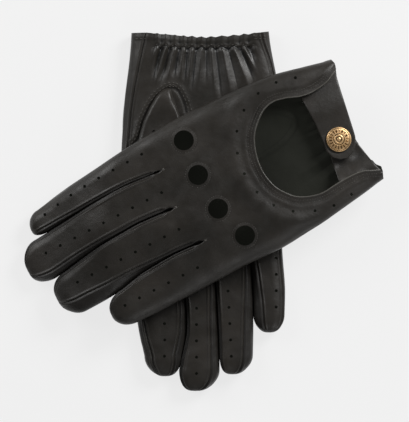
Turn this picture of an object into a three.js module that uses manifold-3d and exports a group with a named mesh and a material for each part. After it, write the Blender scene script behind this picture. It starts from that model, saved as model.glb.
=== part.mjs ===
// A pair of unlined leather driving gloves, laid crossed on a flat surface.
// The right glove lies palm up on the surface. The left glove lies across it, back up.
// Units are millimetres, +Z is up, and the origin is under the middle of the pair, on the surface.
// Each glove is laid out in its own plane: y runs from the wrist to the fingertips, x towards the thumb.
import * as THREE from "three";
import { mergeVertices } from "three/addons/utils/BufferGeometryUtils.js";
import Module from "manifold-3d";

const wasm = await Module();
wasm.setup();

// ---- Driving dimensions -------------------------------------------------------------------------
const HALF_HAND = 6.5; // half the thickness of a glove lying flat
const LEATHER = 1.1; // one skin
const GAP = 0.3; // clearance between touching pieces
const SLIT_GAP = 0.4; // from the middle of a slit to a finger's side
const HAND_END = 118; // the hand's skins stop here and the finger strips carry on
const HAND_ROUND = 10; // how far the hand's sides take to round over
const FINGER_HALF = 6.2; // half the thickness of a finger
const SEAM_ANGLE = 30; // a gusset covers this much of a finger's side, above and below its middle
const SEAM_OPEN = 3; // angle left open between a gusset and the strip beside it
const EDGE_ANGLE = 2; // where back and palm meet on a side with no gusset
const KNUCKLE_RADIUS = 6.3;
const HOLE_MARGIN = 3; // how far a cutter reaches past a skin
const BINDING = { wide: 1.3, high: 1.5, from: 0.075, to: 0.925, stations: 36 };
const THUMB = { half: 3.5, edge: 8, backStart: 60, opening: { x: 20.5, y: 52, halfWide: 9, halfLong: 11 } };
const TIP = { reach: 14, turn: 13, thinnest: 0.32, rounding: [0.3, 0.6, 0.83, 0.97] }; // how a finger ends
const STEP = { hand: 13, near: 7, tip: 9 }; // sections over the hand, and the distance between a finger's
const OVERLAP = 3; // how far a finger's strip reaches back into the hand's skin
const STRAP = { root: 29.5, low: -1.8, high: 24.6, end: { x: -6.3, y: 16, radius: 11 } };
const TAB_STATIONS = [-34, -30, -26, -21, -15, -9, -3];
const TAB = { slopeFrom: -17, slopeRun: 13, across: 5, hole: 1.5 };
const ELASTIC = { from: -27, to: 25, low: 6, wide: 5, thick: 0.9, stations: 14 };
const CURL = { left: 35, right: 60 }; // how far the fingertips bend up, in degrees
const CURL_GAP = 0.5;
const CURL_NOTCH = { left: 3.2, right: 0.5 }; // how far below a finger's middle the bend's notch starts
const SNAP = { x: -5.7, y: 15.7, capRadius: 7.9, hole: 2.3 };
// Heights of the snap's stack above the glove's middle plane, towards the back of the hand.
const LEVEL = {
  flap: HALF_HAND - LEATHER,
  capTop: 6.4,
  capBase: 4.6,
  strapTop: 4.3,
  strapBase: 2.9,
  socketTop: 2.6,
  socketBase: 0.5,
  studTop: 1.5,
  tabTop: -0.3,
  tabBase: -1.6,
  postBase: -2.5,
};

const FINGERS = ["index", "middle", "ring", "little"];

// Edges run from wrist to fingertip as [x, y]: the thumb side, the three slits, and the little side.
// A finger lies between one edge and the next. curlAt is where its tip bends.
const GLOVES = {
  left: {
    up: 1, // the back of the hand faces up
    wrist: [95.8, 57.3],
    turn: 117.5,
    edges: [
      [[40.5, -3], [45, 14], [50, 35], [52, 64], [53, 92], [52.5, 110], [51.5, 140], [48, 173], [45, 194]],
      [[27.5, 100], [28.5, 123], [31, 150], [30, 175], [27.5, 200], [26.5, 214]],
      [[3, 100], [3.7, 127], [5.5, 151], [4.5, 180], [1.5, 200], [-1, 214]],
      [[-23.5, 100], [-23.3, 120], [-21.8, 140], [-23, 165], [-27.5, 186], [-28, 205]],
      [[-37, -1], [-42, 11], [-47, 45], [-50, 78], [-48.8, 105], [-49.6, 140], [-49.6, 170], [-49, 183]],
    ],
    crotches: [123, 127, 120],
    tips: [[34, 214.8], [10, 228], [-13, 219.8], [-38, 193.8]],
    curlAt: [166, 176, 170, 156],
  },
  right: {
    up: -1, // the palm faces up
    wrist: [-2.5, 112.8],
    turn: 180,
    edges: [
      [
        [43.5, 0], [44.7, 17], [48, 42], [50, 74], [50.5, 100],
        [48.5, 135], [43, 165], [39.7, 184], [38, 194],
      ],
      [[24, 100], [19, 122], [12.5, 150], [9, 172], [8.5, 190], [10.7, 200], [14, 214]],
      [[-3, 100], [-6, 125], [-9.5, 155], [-11.3, 185], [-12, 206], [-12, 214]],
      [[-26, 100], [-28.5, 118], [-32, 149], [-33.2, 168], [-33.4, 190], [-33, 205]],
      [
        [-42.8, -0.5], [-44.7, 12], [-48.5, 30], [-50, 70], [-50, 100],
        [-51.7, 140], [-53.6, 162], [-53, 180],
      ],
    ],
    crotches: [122, 125, 118],
    tips: [[23.5, 216.7], [0, 226.2], [-19.5, 216], [-43.5, 190.4]],
    curlAt: [191, 177, 166, 153],
  },
};

const KNUCKLES = [[38.8, 102.5], [15.4, 104.6], [-9.2, 103.2], [-32, 96]];
const KEYHOLE = [
  [38, -6], [30.5, 8], [29, 22], [33.5, 40], [27, 56], [2, 67.5],
  [-20, 61], [-30, 43], [-29.5, 22], [-31, 9], [-39, -6],
];
// The thumb and the strap's tab, as [place, value] pairs.
const THUMB_HALF_WIDTHS = [
  [36, 5], [43, 10.5], [52, 13.5], [62, 15.5], [72, 16], [82, 14], [89, 10.5], [94, 4],
];
const THUMB_MIDDLE = [[36, 18.5], [52, 20.5], [72, 24], [94, 26]];
const THUMB_STATIONS = [43, 52, 65, 72, 79, 84, 88, 91, 94];
const TAB_LOW = [[-35, 3.5], [-22, 5.4], [-9, 7], [-3, 10]];
const TAB_HIGH = [[-35, 27], [-22, 26.4], [-9, 24.6], [-3, 21.5]];

// ---- Small helpers ------------------------------------------------------------------------------
const clamp01 = (t) => Math.min(1, Math.max(0, t));
const smooth = (t) => clamp01(t) ** 2 * (3 - 2 * clamp01(t));
const radians = (degrees) => (degrees * Math.PI) / 180;

// Straight interpolation in a table of [input, output] pairs.
function along(table, at) {
  const last = table.length - 1;
  let i = 0;
  while (i < last - 1 && at > table[i + 1][0]) i++;
  const t = clamp01((at - table[i][0]) / (table[i + 1][0] - table[i][0]));
  return THREE.MathUtils.lerp(table[i][1], table[i + 1][1], t);
}

// The x of an edge at y, on a smooth curve through the edge's points.
function edgeX(edge, y) {
  const table = edge.map(([x, at]) => [at, x]);
  const window = 6;
  return (along(table, y - window) + 2 * along(table, y) + along(table, y + window)) / 4;
}

function toWorld(glove, x, y) {
  const c = Math.cos(radians(glove.turn));
  const s = Math.sin(radians(glove.turn));
  return [glove.wrist[0] + x * c - y * s, glove.wrist[1] + x * s + y * c];
}

// Height of the surface that a glove lies on: the table for the right glove, and for the left glove
// the right one with both thumbs on it. The left fingers droop to the table and its wrist a little.
const DRAPE = {
  high: 20.7, low: 13.5, lowEnd: -50, lowStart: -8,
  tip: -112, tipStart: -55, wristStart: 50, wristBlend: 20, wristSlope: 0.12,
};
function bed(glove, x, y) {
  if (glove.up < 0) return 0;
  const [X, Y] = toWorld(glove, x, y);
  const over = smooth((Y - DRAPE.lowEnd) / (DRAPE.lowStart - DRAPE.lowEnd));
  const height = THREE.MathUtils.lerp(DRAPE.low, DRAPE.high, over);
  const past = Math.max(0, X - DRAPE.wristStart);
  const blend = Math.min(past, DRAPE.wristBlend);
  const sag = DRAPE.wristSlope * (blend ** 2 / (2 * DRAPE.wristBlend) + (past - blend));
  return height * smooth((X - DRAPE.tip) / (DRAPE.tipStart - DRAPE.tip)) - sag;
}

// A closed skin over a grid of rows and columns: outside(i, j) and inside(i, j) give its points.
function skin(rows, columns, outside, inside) {
  const points = [];
  for (const side of [outside, inside])
    for (let i = 0; i < rows; i++) for (let j = 0; j < columns; j++) points.push(...side(i, j));
  const at = (layer, i, j) => layer * rows * columns + i * columns + j;
  const faces = [];
  const quad = (a, b, c, d) => faces.push(a, b, c, a, c, d);
  for (let i = 0; i + 1 < rows; i++)
    for (let j = 0; j + 1 < columns; j++) {
      quad(at(0, i, j), at(0, i + 1, j), at(0, i + 1, j + 1), at(0, i, j + 1));
      quad(at(1, i, j), at(1, i, j + 1), at(1, i + 1, j + 1), at(1, i + 1, j));
    }
  const wall = (i, j, k, l) => quad(at(0, i, j), at(0, k, l), at(1, k, l), at(1, i, j));
  for (let i = 0; i + 1 < rows; i++) {
    wall(i + 1, 0, i, 0);
    wall(i, columns - 1, i + 1, columns - 1);
  }
  for (let j = 0; j + 1 < columns; j++) {
    wall(0, j, 0, j + 1);
    wall(rows - 1, j + 1, rows - 1, j);
  }
  const made = new THREE.BufferGeometry();
  made.setAttribute("position", new THREE.Float32BufferAttribute(points, 3));
  made.setIndex(faces);
  return facingOut(made);
}

// Turns the faces round if they point inwards.
function facingOut(geometry) {
  const p = geometry.getAttribute("position");
  const index = geometry.index.array;
  const [a, b, c] = [new THREE.Vector3(), new THREE.Vector3(), new THREE.Vector3()];
  let volume = 0;
  for (let i = 0; i < index.length; i += 3) {
    a.fromBufferAttribute(p, index[i]);
    b.fromBufferAttribute(p, index[i + 1]);
    c.fromBufferAttribute(p, index[i + 2]);
    volume += a.dot(b.cross(c));
  }
  if (volume > 0) return geometry;
  for (let i = 0; i < index.length; i += 3) [index[i], index[i + 1]] = [index[i + 1], index[i]];
  return geometry;
}

// The same geometry with shared corners and only positions.
function welded(geometry) {
  const bare = geometry.clone();
  bare.deleteAttribute("normal");
  bare.deleteAttribute("uv");
  return mergeVertices(bare, 1e-4);
}

function solidOf(geometry) {
  const merged = welded(geometry);
  return new wasm.Manifold(new wasm.Mesh({
    numProp: 3,
    vertProperties: merged.getAttribute("position").array,
    triVerts: new Uint32Array(merged.index.array),
  }));
}

function geometryOf(solid) {
  const mesh = solid.getMesh();
  const made = new THREE.BufferGeometry();
  made.setAttribute("position", new THREE.Float32BufferAttribute(mesh.vertProperties, 3));
  made.setIndex(new THREE.BufferAttribute(new Uint32Array(mesh.triVerts), 1));
  return made;
}

const joined = (geometries) => geometryOf(geometries.map(solidOf).reduce((a, b) => a.add(b)));
const cut = (geometry, cutters) =>
  geometryOf(cutters.map(solidOf).reduce((a, b) => a.subtract(b), solidOf(geometry)));

// A flat plate of this outline, from z low to z high.
function plate(shape, low, high) {
  const options = { depth: high - low, bevelEnabled: false, curveSegments: 10 };
  return new THREE.ExtrudeGeometry(shape, options).translate(0, 0, low);
}

// ---- Sections through a glove -------------------------------------------------------------------
// A section is a rounded rectangle: middle, half width, half thickness, and how far its sides round over.
function handSection(glove, y) {
  const [a, b] = [edgeX(glove.edges[0], y), edgeX(glove.edges[4], y)];
  return { y, middle: (a + b) / 2, wide: (a - b) / 2, high: HALF_HAND, round: HAND_ROUND };
}

function fingerSection(glove, finger, y) {
  const [tipX, tipY] = glove.tips[finger];
  const sides = (at) => [
    edgeX(glove.edges[finger], at) - (finger === 0 ? 0 : SLIT_GAP),
    edgeX(glove.edges[finger + 1], at) + (finger === 3 ? 0 : SLIT_GAP),
  ];
  const atRoot = sides(glove.crotches[0]);
  const reach = Math.min(TIP.reach, (atRoot[0] - atRoot[1]) / 2);
  const turnIn = tipY - reach;
  const t = clamp01((y - turnIn) / reach);
  const [a, b] = sides(Math.min(y, turnIn));
  const shrink = Math.sqrt(1 - t * t);
  const wide = ((a - b) / 2) * shrink;
  const thin = THREE.MathUtils.lerp(HALF_HAND, FINGER_HALF, smooth((y - HAND_END) / 12));
  return {
    y,
    middle: THREE.MathUtils.lerp((a + b) / 2, tipX, t),
    wide,
    high: thin * Math.max(TIP.thinnest, shrink),
    round: Math.min(wide * 0.75, 9),
  };
}

// Stops round a section are { side, angle } on a rounded side, or { flat } across the top or bottom.
const sideStop = (side, angle) => ({ side, angle });
function stopsOver(up, angleThumb, angleLittle, flats = [0.5, 0, -0.5]) {
  const rise = (from) => [from, (from + 90) / 2, 90];
  return [
    ...rise(angleThumb).map((a) => sideStop(1, up * a)),
    ...flats.map((flat) => ({ flat, up })),
    ...rise(angleLittle).reverse().map((a) => sideStop(-1, up * a)),
  ];
}
const stopsSide = (side) =>
  [SEAM_ANGLE - SEAM_OPEN, 0, SEAM_OPEN - SEAM_ANGLE].map((a) => sideStop(side, a));

// The point of a section at a stop, inset below the surface. Its bottom lies on the glove's own floor.
function pointAt(section, stop, inset) {
  const straight = section.wide - section.round;
  if (stop.side === undefined) {
    const z = section.high + stop.up * (section.high - inset);
    return [section.middle + stop.flat * straight, section.y, z];
  }
  const a = radians(stop.angle);
  const x = section.middle + stop.side * (straight + (section.round - inset) * Math.cos(a));
  return [x, section.y, section.high + (section.high - inset) * Math.sin(a)];
}

// One strip of leather over a run of sections. lean moves a point of the first or last section along y.
function strip(sections, stops, lean = () => 0) {
  const point = (inset) => (i, j) => {
    const [x, y, z] = pointAt(sections[i], stops[j], inset);
    return [x, y + lean(i, z - sections[i].high), z];
  };
  return skin(sections.length, stops.length, point(0), point(LEATHER));
}

const spread = (from, to, count) =>
  Array.from({ length: count }, (_, i) => from + ((to - from) * i) / (count - 1));

// The notch on top at a finger's bend, so that the tip can turn up by the curl angle. It is as wide as
// the lean of the left glove's fingers needs.
function notch(name, first, last) {
  const slope = Math.tan(radians(CURL[name] / 2 + 2));
  const wide = (height) => CURL_GAP + Math.max(0, height + CURL_NOTCH[name]) * slope;
  return (i, height) => (i === first ? 1 : i === last ? -1 : 0) * wide(height);
}

// ---- Pieces of one glove, in the glove's own plane ----------------------------------------------
function gloveSide(name, facing) {
  const glove = GLOVES[name];
  return { glove, up: glove.up * facing };
}

function fingerStops(finger, up) {
  const thumbSide = finger === 0 ? EDGE_ANGLE : SEAM_ANGLE;
  const littleSide = finger === 3 ? EDGE_ANGLE : SEAM_ANGLE;
  return stopsOver(up, thumbSide, littleSide, [0]);
}

// Sections from the hand to a finger's bend, at the same heights whatever they start from.
function nearSections(glove, finger, from) {
  const bend = glove.curlAt[finger];
  const count = Math.round((bend - HAND_END) / STEP.near);
  const stations = spread(HAND_END, bend, count).filter((y) => y > from + 1);
  return [from, ...stations].map((y) => fingerSection(glove, finger, y));
}

// Sections from a finger's bend to its tip.
function tipSections(glove, finger) {
  const bend = glove.curlAt[finger];
  const tipY = glove.tips[finger][1];
  const turn = tipY - TIP.turn;
  const count = Math.max(2, Math.round((turn - bend) / STEP.tip));
  const straight = turn > bend + STEP.tip ? spread(bend, turn, count) : [bend];
  const rounded = TIP.rounding.map((t) => turn + t * TIP.turn);
  return [...straight, ...rounded].map((y) => fingerSection(glove, finger, y));
}

// Back or palm: the hand's skin joined to the near part of its four fingers.
function panel(name, facing) {
  const { glove, up } = gloveSide(name, facing);
  const hand = strip(
    spread(0, HAND_END, STEP.hand).map((y) => handSection(glove, y)),
    stopsOver(up, EDGE_ANGLE, EDGE_ANGLE, [0.75, 0.5, 0.25, 0, -0.25, -0.5, -0.75]),
  );
  const fingers = FINGERS.map((_, finger) => {
    const sections = nearSections(glove, finger, HAND_END - OVERLAP);
    return strip(sections, fingerStops(finger, up), notch(name, -1, sections.length - 1));
  });
  return joined([hand, ...fingers]);
}

// The heights between which a cutter goes through the upper (1) or the lower (-1) skin only.
function cutRange(up) {
  return up > 0 ? [HALF_HAND + 0.5, 2 * HALF_HAND + HOLE_MARGIN] : [-HOLE_MARGIN, HALF_HAND - 0.5];
}

function keyholeCurve() {
  return new THREE.SplineCurve(KEYHOLE.map(([x, y]) => new THREE.Vector2(x, y)));
}

function backPanel(name) {
  const glove = GLOVES[name];
  const keyhole = new THREE.Shape(keyholeCurve().getPoints(44));
  const [low, high] = cutRange(glove.up);
  const holes = KNUCKLES.map(([x, y]) =>
    new THREE.CylinderGeometry(KNUCKLE_RADIUS, KNUCKLE_RADIUS, high - low, 20)
      .rotateX(Math.PI / 2)
      .translate(x, y, (low + high) / 2));
  return cut(panel(name, 1), [plate(keyhole, low, high), ...holes]);
}

function palmPanel(name) {
  const { x, y, halfWide, halfLong } = THUMB.opening;
  const thumbHole = new THREE.Shape().absellipse(x, y, halfWide, halfLong, 0, 2 * Math.PI);
  return cut(panel(name, -1), [plate(thumbHole, ...cutRange(-GLOVES[name].up))]);
}

// A forked gusset: the sides of two neighbouring fingers, joined at the bottom of their slit.
function fourchette(name, slit) {
  const glove = GLOVES[name];
  const crotch = glove.crotches[slit];
  const arm = (finger, side) => {
    const sections = nearSections(glove, finger, crotch);
    return strip(sections, stopsSide(side), notch(name, -1, sections.length - 1));
  };
  const web = new THREE.BoxGeometry(2 * (SLIT_GAP + LEATHER), 2 * LEATHER, FINGER_HALF * 0.8);
  web.translate(edgeX(glove.edges[slit + 1], crotch), crotch + LEATHER, FINGER_HALF);
  return joined([arm(slit, -1), arm(slit + 1, 1), web]);
}

function fingertipStrip(name, finger, facing) {
  const { glove, up } = gloveSide(name, facing);
  return strip(tipSections(glove, finger), fingerStops(finger, up), notch(name, 0, -1));
}

function fingertipGusset(name, finger, side) {
  const glove = GLOVES[name];
  return strip(tipSections(glove, finger), stopsSide(side), notch(name, 0, -1));
}

// The thumb lies flat on the palm, so it is above the right glove and under the left one.
function thumbPiece(name, outward) {
  const glove = GLOVES[name];
  const away = -glove.up; // the way from the palm to the thumb
  const middleZ = away > 0 ? 2 * HALF_HAND + GAP + THUMB.half : -GAP - THUMB.half;
  const from = outward ? THUMB_MIDDLE[0][0] : THUMB.backStart;
  const ys = [from, ...THUMB_STATIONS.filter((y) => y > from)];
  const sections = ys.map((y) => {
    const wide = along(THUMB_HALF_WIDTHS, y);
    const high = THUMB.half * Math.min(1, 0.55 + wide / 18);
    return { y, middle: along(THUMB_MIDDLE, y), wide, high, round: Math.min(wide * 0.8, THUMB.edge) };
  });
  const stops = stopsOver(outward ? away : -away, 5, 5, [0]);
  return strip(sections, stops).translate(0, 0, middleZ - THUMB.half);
}

// ---- Strap, tab, snap and trims. Heights here are measured towards the back of the hand. -----------
function strapShape() {
  const shape = new THREE.Shape();
  const { x, y, radius } = STRAP.end;
  shape.moveTo(STRAP.root, STRAP.low);
  shape.lineTo(STRAP.root - 0.5, STRAP.high);
  shape.bezierCurveTo(16, 24, 4, STRAP.high, -3.5, 26.6);
  shape.absarc(x, y, radius, radians(75), radians(255), false);
  shape.bezierCurveTo(0, 3.8, 16, 1.4, STRAP.root, STRAP.low);
  shape.holes.push(new THREE.Path().absarc(SNAP.x, SNAP.y, SNAP.hole, 0, 2 * Math.PI, true));
  return shape;
}

// The height of the hand's inside above its middle plane.
function insideHeight(glove, x, y) {
  const section = handSection(glove, y);
  const past = Math.max(0, Math.abs(x - section.middle) - (section.wide - section.round));
  const t = Math.min(1, past / (section.round - LEATHER));
  return (section.high - LEATHER) * Math.sqrt(1 - t * t);
}

// The tab slopes from under the little-side flap down to the snap.
function strapTab(glove) {
  const rise = (x) => smooth((TAB.slopeFrom - x) / TAB.slopeRun);
  const slope = (x) => THREE.MathUtils.lerp(LEVEL.tabTop, LEVEL.flap - GAP, rise(x));
  const topAt = (x, y) => Math.min(slope(x), insideHeight(glove, x, y) - 2 * GAP);
  const thick = LEVEL.tabTop - LEVEL.tabBase;
  const point = (drop) => (i, j) => {
    const x = TAB_STATIONS[i];
    const y = THREE.MathUtils.lerp(along(TAB_LOW, x), along(TAB_HIGH, x), j / (TAB.across - 1));
    return [x, y, topAt(x, y) - drop];
  };
  const hole = new THREE.CylinderGeometry(TAB.hole, TAB.hole, 8, 16);
  hole.rotateX(Math.PI / 2).translate(SNAP.x, SNAP.y, -1);
  return cut(skin(TAB_STATIONS.length, TAB.across, point(0), point(thick)), [hole]);
}

// A round piece on the snap's axis. profile gives [radius, height].
function turned(profile) {
  const round = new THREE.LatheGeometry(profile.map(([r, z]) => new THREE.Vector2(r, z)), 28);
  return facingOut(welded(round.rotateX(Math.PI / 2).translate(SNAP.x, SNAP.y, 0)));
}

const snapPieces = {
  snap_cap: () => turned([
    [0, LEVEL.socketTop + 0.6],
    [1.9, LEVEL.socketTop + 0.6],
    [1.9, LEVEL.capBase],
    [SNAP.capRadius - 0.4, LEVEL.capBase],
    [SNAP.capRadius, LEVEL.capBase + 0.5],
    [SNAP.capRadius - 0.3, LEVEL.capBase + 1.1],
    [SNAP.capRadius - 1.6, LEVEL.capTop - 0.3],
    [3.5, LEVEL.capTop],
    [0, LEVEL.capTop],
  ]),
  snap_socket: () => turned([
    [0, LEVEL.socketTop],
    [5.6, LEVEL.socketTop],
    [5.9, LEVEL.socketTop - 0.5],
    [4.6, LEVEL.socketTop - 1],
    [4.4, LEVEL.socketBase],
    [3, LEVEL.socketBase],
    [3, LEVEL.studTop + 0.4],
    [0, LEVEL.studTop + 0.4],
  ]),
  snap_stud: () => turned([
    [0, LEVEL.tabTop + GAP],
    [4.2, LEVEL.tabTop + GAP],
    [4.2, 0.1],
    [2.1, 0.15],
    [2.1, 0.6],
    [2.5, 1],
    [2.2, LEVEL.studTop],
    [0, LEVEL.studTop],
  ]),
  snap_post: () => turned([
    [0, LEVEL.postBase],
    [4.4, LEVEL.postBase],
    [4.4, LEVEL.tabBase - GAP],
    [1.1, LEVEL.tabBase - GAP],
    [1.1, LEVEL.tabTop],
    [0, LEVEL.tabTop],
  ]),
};

// The edge binding runs round the inside of the keyhole's edge, from one side of the wrist to the other.
function keyholeBinding() {
  const curve = keyholeCurve();
  const stations = spread(BINDING.from, BINDING.to, BINDING.stations).map((t) => {
    const tangent = curve.getTangentAt(t);
    return { p: curve.getPointAt(t), inward: new THREE.Vector2(-tangent.y, tangent.x) };
  });
  const corner = (offset, z) => (i) => {
    const { p, inward } = stations[i];
    return [p.x + inward.x * offset, p.y + inward.y * offset, z];
  };
  const near = GAP;
  const far = GAP + BINDING.wide;
  const [top, base] = [HALF_HAND, HALF_HAND - BINDING.high];
  const row = (z) => (i, j) => corner(j === 0 ? near : far, z)(i);
  return skin(BINDING.stations, 2, row(top), row(base));
}

function wristElastic() {
  const xs = spread(ELASTIC.from, ELASTIC.to, ELASTIC.stations);
  const base = -HALF_HAND + LEATHER + GAP;
  const point = (z) => (i, j) => [xs[i], ELASTIC.low + ELASTIC.wide * j, z];
  return skin(xs.length, 2, point(base + ELASTIC.thick), point(base));
}

// ---- Assembly ------------------------------------------------------------------------------------
const BROWN_BLACK = { color: 0x2a2624, roughness: 0.5, metalness: 0 };
const MATERIALS = {
  leather: new THREE.MeshStandardMaterial(BROWN_BLACK),
  gusset: new THREE.MeshStandardMaterial({ ...BROWN_BLACK, color: 0x231f1d }),
  brass: new THREE.MeshStandardMaterial({ color: 0xc9a063, roughness: 0.3, metalness: 1 }),
  steel: new THREE.MeshStandardMaterial({ color: 0x8d8a84, roughness: 0.35, metalness: 1 }),
  elastic: new THREE.MeshStandardMaterial({ color: 0x1b1b1b, roughness: 0.9, metalness: 0 }),
};

// Lays a geometry made in the glove's plane on what the glove lies on.
function laid(glove, geometry) {
  const p = geometry.getAttribute("position");
  for (let i = 0; i < p.count; i++) p.setZ(i, p.getZ(i) + bed(glove, p.getX(i), p.getY(i)));
  return geometry;
}

// Puts a piece whose heights run towards the back of the hand into the glove's plane.
function backwards(glove, geometry) {
  const p = geometry.getAttribute("position");
  for (let i = 0; i < p.count; i++) p.setZ(i, HALF_HAND + glove.up * p.getZ(i));
  return glove.up > 0 ? geometry : facingOut(welded(geometry));
}

function buildGlove(name) {
  const glove = GLOVES[name];
  const group = new THREE.Group();
  group.position.set(glove.wrist[0], glove.wrist[1], 0);
  group.rotation.z = radians(glove.turn);
  const add = (piece, geometry, material) => {
    const mesh = new THREE.Mesh(laid(glove, geometry), MATERIALS[material]);
    mesh.name = `${name}_${piece}`;
    group.add(mesh);
  };
  const onBack = (geometry) => backwards(glove, geometry);

  add("back_panel", backPanel(name), "leather");
  add("palm_panel", palmPanel(name), "leather");
  FINGERS.slice(1).forEach((finger, slit) =>
    add(`fourchette_${FINGERS[slit]}_${finger}`, fourchette(name, slit), "gusset"));
  FINGERS.forEach((finger, i) => {
    add(`${finger}_tip_back`, fingertipStrip(name, i, 1), "leather");
    add(`${finger}_tip_palm`, fingertipStrip(name, i, -1), "leather");
    if (i > 0) add(`${finger}_tip_gusset_thumbward`, fingertipGusset(name, i, 1), "gusset");
    if (i < 3) add(`${finger}_tip_gusset_littleward`, fingertipGusset(name, i, -1), "gusset");
  });
  add("thumb_front", thumbPiece(name, true), "leather");
  add("thumb_back", thumbPiece(name, false), "leather");

  add("strap", onBack(plate(strapShape(), LEVEL.strapBase, LEVEL.strapTop)), "leather");
  add("strap_tab", onBack(strapTab(glove)), "leather");
  for (const [piece, make] of Object.entries(snapPieces))
    add(piece, onBack(make()), piece === "snap_cap" ? "brass" : "steel");
  add("keyhole_binding", onBack(keyholeBinding()), "leather");
  add("wrist_elastic", onBack(wristElastic()), "elastic");
  return group;
}

const gloves = new THREE.Group();
gloves.add(buildGlove("right"), buildGlove("left"));

export default gloves;
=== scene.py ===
import math

import bpy
import numpy as np
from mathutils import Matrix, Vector
from mathutils.bvhtree import BVHTree


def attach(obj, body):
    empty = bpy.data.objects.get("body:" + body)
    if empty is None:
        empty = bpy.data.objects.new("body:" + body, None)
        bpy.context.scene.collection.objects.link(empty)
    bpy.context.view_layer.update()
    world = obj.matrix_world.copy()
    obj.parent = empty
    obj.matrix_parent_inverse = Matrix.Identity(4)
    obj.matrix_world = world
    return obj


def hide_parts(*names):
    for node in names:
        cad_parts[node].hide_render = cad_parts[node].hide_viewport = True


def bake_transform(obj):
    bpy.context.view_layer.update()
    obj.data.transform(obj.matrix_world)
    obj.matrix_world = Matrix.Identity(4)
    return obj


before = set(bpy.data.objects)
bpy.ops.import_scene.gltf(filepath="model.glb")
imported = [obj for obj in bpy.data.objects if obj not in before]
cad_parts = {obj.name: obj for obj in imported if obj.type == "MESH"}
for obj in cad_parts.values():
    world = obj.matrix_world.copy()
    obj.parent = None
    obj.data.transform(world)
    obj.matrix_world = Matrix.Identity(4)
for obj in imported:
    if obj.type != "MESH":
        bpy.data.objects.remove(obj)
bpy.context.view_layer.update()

MM = 0.001

# ---- Driving dimensions, in millimetres ------------------------------------------------------------
HALF_HAND = 6.5           # half the thickness of a glove lying flat
HALF_FINGER = 6.2
LEATHER = 0.85
SLIT_GAP = 0.02           # from the middle of a slit to a finger's side
HAND_ROLL = 10.0          # how far in from its edge the hand's side rolls over
CROTCH_ROLL = 1.2         # the least that a finger's side rolls over beside a slit
SPLIT_Y = 128.0           # the hand's leather and the fingers' leather meet here
CELL = 1.1                # the grid's step along a glove
ACROSS = 32               # grid columns over one finger's width
AROUND = 22               # grid columns round one side
SOFTENING = 6             # a line through rows of a table is averaged this far each way
PERFORATION = 0.95        # radius of the small punched holes
PERFORATION_PITCH = 10.3
KNUCKLE_RADIUS = 6.3
GATHERS = 14              # how many gathers the elastic pulls into the palm
GATHERS_FAN = 0.016       # how much wider they are spread for each millimetre above the elastic
SNAP_AT = (-5.7, 15.7)
CAP_RADIUS = 7.9
CAP_FACE = 6.95           # radius of the cap's engraved face
STITCH = {"length": 1.5, "gap": 0.8, "radius": 0.2}
FAR = 99.0                # a distance that means nowhere near
WELD = 2e-4               # points this close are one
SHARP = math.radians(50)  # edges sharper than this are shaded as corners
FINGERS = ("index", "middle", "ring", "little")

# Heights of the strap and snap above a glove's middle plane, towards the back of the hand.
STRAP_TOP = 4.3
STRAP_THICK = 1.4
STRAP_ARCH = 1.2          # how far it bows up between the flap and the snap
TAB_TOP = -0.3
FLAP_INSIDE = 5.1
CAP_BASE = 4.6
CAP_TOP = 6.4
ELASTIC_TOP = -4.7

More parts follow.
